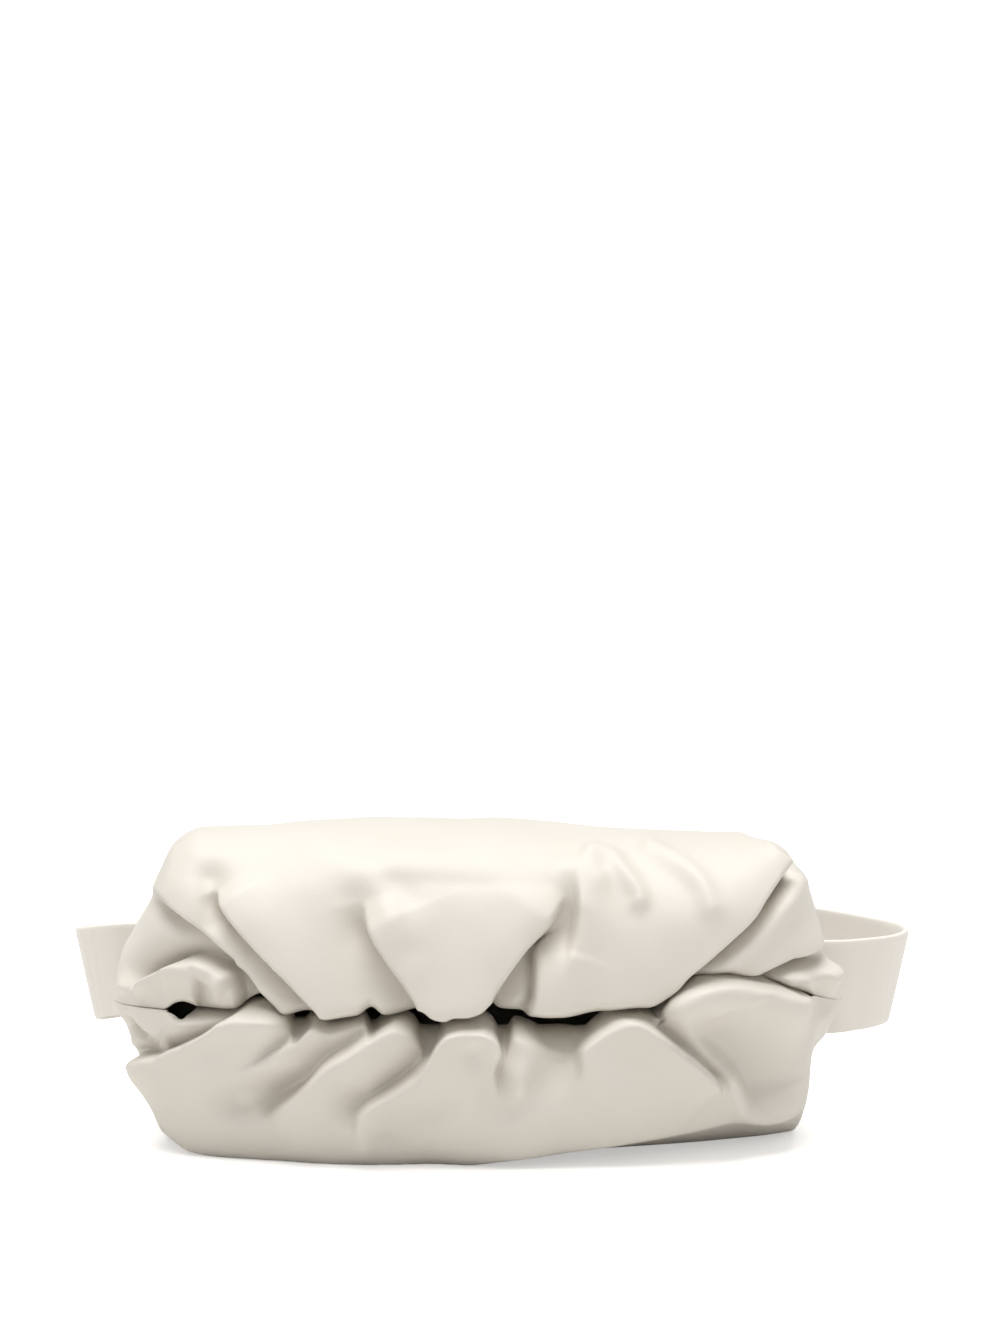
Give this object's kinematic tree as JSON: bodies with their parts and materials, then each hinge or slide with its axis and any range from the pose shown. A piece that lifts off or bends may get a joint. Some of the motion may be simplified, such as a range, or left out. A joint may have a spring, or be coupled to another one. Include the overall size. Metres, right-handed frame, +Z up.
{
  "type": "belt bag",
  "caption": "Soft gathered leather pouch with a wide pleated front mouth, sewn to a broad leather belt that loops behind it for wearing at the waist.",
  "frame": {"origin": "middle of the whole bag's box, on the surface that it rests on", "axes": "+X across the front from left to right, +Y from the mouth towards the back, +Z up"},
  "size_m": [0.3756, 0.237, 0.1399],
  "materials": {
    "pouch_leather": "smooth off-white nappa, softly matt",
    "belt_leather": "smooth off-white leather, softly matt"
  },
  "bodies": {
    "root": {"upper_panel": "pouch_leather", "lower_panel": "pouch_leather", "belt_left": "belt_leather", "belt_right": "belt_leather", "belt_clasp": "belt_leather"}
  },
  "joints": []
}
